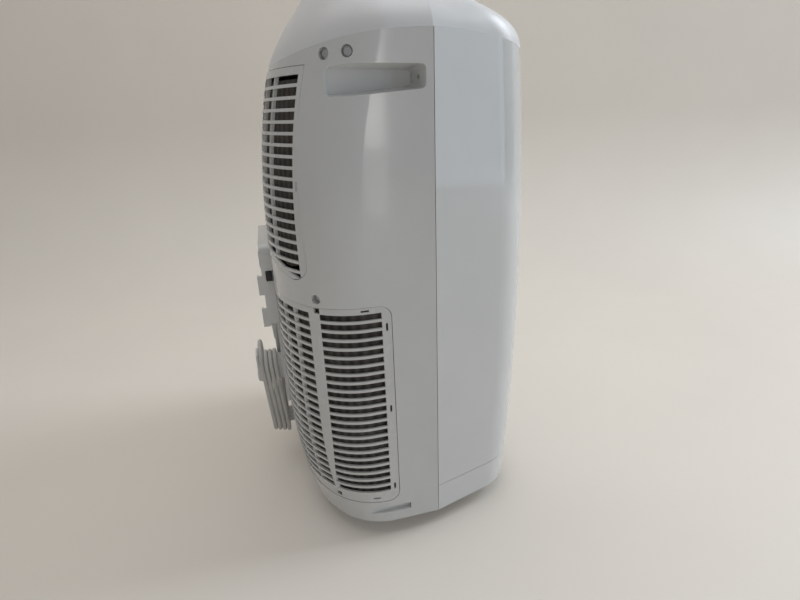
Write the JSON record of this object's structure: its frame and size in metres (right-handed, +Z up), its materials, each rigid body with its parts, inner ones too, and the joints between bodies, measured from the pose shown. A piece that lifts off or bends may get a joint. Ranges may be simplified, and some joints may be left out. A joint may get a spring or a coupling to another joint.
{
  "type": "portable air conditioner",
  "caption": "Upright portable air conditioner on casters with a round-cornered bowed shell, back filter grilles, a hose outlet, a wrapped power cord and a flap over the top outlet.",
  "frame": {"origin": "on the floor, under the middle of the box the unit fills without its cord", "axes": "+Z up, -Y to the front, +X to the right of someone who stands in front of the unit and looks at it"},
  "size_m": [0.449, 0.4039, 0.7331],
  "materials": {
    "housing_white": "glossy moulded plastic",
    "cover_white": "satin moulded plastic",
    "grille_white": "glossy moulded plastic",
    "filter_mesh": "fine dark mesh",
    "inner_plastic": "matt moulded plastic",
    "panel_grey": "satin inlay",
    "display_glass": "dark smooth window",
    "board_green": "lacquered board",
    "latch_black": "matt moulded plastic",
    "hook_grey": "satin moulded plastic",
    "cord_grey": "smooth flexible sheath",
    "pan_black": "matt moulded plastic",
    "shell_black": "black paint",
    "grommet_rubber": "matt rubber",
    "coil_aluminium": "thin bare fins",
    "fan_black": "matt moulded plastic",
    "motor_steel": "plated can",
    "motor_dark": "matt moulded case",
    "deck_steel": "galvanised sheet",
    "pipe_copper": "bare copper",
    "screw_steel": "plated",
    "button_white": "satin moulded cap",
    "caster_black": "matt moulded plastic",
    "wheel_grey": "hard tread"
  },
  "bodies": {
    "housing": {"rear_shell": "housing_white", "front_panel": "housing_white", "front_lower_trim": "housing_white", "top_cover": "cover_white", "flap_motor": "motor_dark", "outlet_duct": "inner_plastic", "outlet_vanes": "inner_plastic", "control_panel": "panel_grey", "display_window": "display_glass", "control_board": "board_green", "exhaust_outlet": "housing_white", "cord_hook_upper": "housing_white", "cord_hook_lower": "hook_grey", "cord_gland": "cord_grey", "power_cord_lead": "cord_grey", "power_cord_hank": "cord_grey", "mains_plug": "cord_grey", "base_pan": "pan_black", "compressor": "shell_black", "compressor_grommets": "grommet_rubber", "condenser_coil": "coil_aluminium", "evaporator_coil": "coil_aluminium", "condenser_scroll": "inner_plastic", "evaporator_scroll": "inner_plastic", "condenser_motor": "motor_steel", "evaporator_motor": "motor_steel", "mid_deck": "deck_steel", "exhaust_duct": "inner_plastic", "refrigerant_pipes": "pipe_copper", "control_box": "deck_steel", "slinger_motor": "motor_dark", "housing_screws": "screw_steel"},
    "flap": {"outlet_flap": "cover_white"},
    "upper_screen": {"upper_grille": "grille_white", "upper_filter": "filter_mesh"},
    "lower_screen_left": {"lower_grille_left": "grille_white", "lower_filter_left": "filter_mesh"},
    "lower_screen_right": {"lower_grille_right": "grille_white", "lower_filter_right": "filter_mesh"},
    "latch_left": {"hose_latch_left": "latch_black"},
    "latch_right": {"hose_latch_right": "latch_black"},
    "drain_plug": {"drain_cap": "cord_grey"},
    "warm_fan": {"condenser_fan": "fan_black"},
    "cold_fan": {"evaporator_fan": "fan_black"},
    "slinger": {"slinger_wheel": "fan_black"},
    "button_power_cap": {"button_power": "button_white"},
    "button_mode_cap": {"button_mode": "button_white"},
    "button_fan_speed_cap": {"button_fan_speed": "button_white"},
    "button_timer_cap": {"button_timer": "button_white"},
    "button_down_cap": {"button_down": "button_white"},
    "button_up_cap": {"button_up": "button_white"},
    "swivel_front_left": {"caster_fork_front_left": "caster_black"},
    "roller_front_left": {"caster_wheel_front_left": "wheel_grey"},
    "swivel_front_right": {"caster_fork_front_right": "caster_black"},
    "roller_front_right": {"caster_wheel_front_right": "wheel_grey"},
    "swivel_rear_left": {"caster_fork_rear_left": "caster_black"},
    "roller_rear_left": {"caster_wheel_rear_left": "wheel_grey"},
    "swivel_rear_right": {"caster_fork_rear_right": "caster_black"},
    "roller_rear_right": {"caster_wheel_rear_right": "wheel_grey"}
  },
  "joints": [
    {"name": "flap_hinge", "type": "hinge", "parent": "housing", "child": "flap", "pos_m": [0, -0.08172, 0.6864], "axis": [-1, 0, 0], "range_deg": [0, 60]},
    {"name": "button_power_press", "type": "slide", "parent": "housing", "child": "button_power_cap", "axis": [0, 0.2924, -0.9563], "range_m": [0, 0.001], "stiffness_N_per_m": 600, "springref_m": -0.0005},
    {"name": "button_mode_press", "type": "slide", "parent": "housing", "child": "button_mode_cap", "axis": [0, 0.2924, -0.9563], "range_m": [0, 0.001], "stiffness_N_per_m": 600, "springref_m": -0.0005},
    {"name": "button_fan_speed_press", "type": "slide", "parent": "housing", "child": "button_fan_speed_cap", "axis": [0, 0.2924, -0.9563], "range_m": [0, 0.001], "stiffness_N_per_m": 600, "springref_m": -0.0005},
    {"name": "button_timer_press", "type": "slide", "parent": "housing", "child": "button_timer_cap", "axis": [0, 0.2924, -0.9563], "range_m": [0, 0.001], "stiffness_N_per_m": 600, "springref_m": -0.0005},
    {"name": "button_down_press", "type": "slide", "parent": "housing", "child": "button_down_cap", "axis": [0, 0.2924, -0.9563], "range_m": [0, 0.001], "stiffness_N_per_m": 600, "springref_m": -0.0005},
    {"name": "button_up_press", "type": "slide", "parent": "housing", "child": "button_up_cap", "axis": [0, 0.2924, -0.9563], "range_m": [0, 0.001], "stiffness_N_per_m": 600, "springref_m": -0.0005},
    {"name": "upper_screen_pull", "type": "slide", "parent": "housing", "child": "upper_screen", "axis": [0, 1, 0], "range_m": [0, 0.06]},
    {"name": "lower_screen_left_pull", "type": "slide", "parent": "housing", "child": "lower_screen_left", "axis": [-0.7071, 0.7071, 0], "range_m": [0, 0.06]},
    {"name": "lower_screen_right_pull", "type": "slide", "parent": "housing", "child": "lower_screen_right", "axis": [0.7071, 0.7071, 0], "range_m": [0, 0.06]},
    {"name": "latch_left_press", "type": "slide", "parent": "housing", "child": "latch_left", "axis": [1, 0, 0], "range_m": [0, 0.0012], "stiffness_N_per_m": 800, "springref_m": -0.0005},
    {"name": "latch_right_press", "type": "slide", "parent": "housing", "child": "latch_right", "axis": [-1, 0, 0], "range_m": [0, 0.0012], "stiffness_N_per_m": 800, "springref_m": -0.0005},
    {"name": "drain_cap_pull", "type": "slide", "parent": "housing", "child": "drain_plug", "axis": [0, 1, 0], "range_m": [0, 0.02]},
    {"name": "warm_fan_spin", "type": "hinge", "parent": "housing", "child": "warm_fan", "pos_m": [0, 0.013, 0.176], "axis": [0, 1, 0], "continuous": true},
    {"name": "cold_fan_spin", "type": "hinge", "parent": "housing", "child": "cold_fan", "pos_m": [0, 0.013, 0.506], "axis": [0, 1, 0], "continuous": true},
    {"name": "slinger_spin", "type": "hinge", "parent": "housing", "child": "slinger", "pos_m": [-0.186, 0.055, 0.086], "axis": [0, 1, 0], "continuous": true},
    {"name": "swivel_front_left", "type": "hinge", "parent": "housing", "child": "swivel_front_left", "pos_m": [-0.15, -0.119, 0.04], "axis": [0, 0, 1], "continuous": true},
    {"name": "roll_front_left", "type": "hinge", "parent": "swivel_front_left", "child": "roller_front_left", "pos_m": [-0.15, -0.107, 0.02], "axis": [1, 0, 0], "continuous": true},
    {"name": "swivel_front_right", "type": "hinge", "parent": "housing", "child": "swivel_front_right", "pos_m": [0.15, -0.119, 0.04], "axis": [0, 0, 1], "continuous": true},
    {"name": "roll_front_right", "type": "hinge", "parent": "swivel_front_right", "child": "roller_front_right", "pos_m": [0.15, -0.107, 0.02], "axis": [1, 0, 0], "continuous": true},
    {"name": "swivel_rear_left", "type": "hinge", "parent": "housing", "child": "swivel_rear_left", "pos_m": [-0.15, 0.063, 0.04], "axis": [0, 0, 1], "continuous": true},
    {"name": "roll_rear_left", "type": "hinge", "parent": "swivel_rear_left", "child": "roller_rear_left", "pos_m": [-0.15, 0.075, 0.02], "axis": [1, 0, 0], "continuous": true},
    {"name": "swivel_rear_right", "type": "hinge", "parent": "housing", "child": "swivel_rear_right", "pos_m": [0.15, 0.063, 0.04], "axis": [0, 0, 1], "continuous": true},
    {"name": "roll_rear_right", "type": "hinge", "parent": "swivel_rear_right", "child": "roller_rear_right", "pos_m": [0.15, 0.075, 0.02], "axis": [1, 0, 0], "continuous": true}
  ]
}
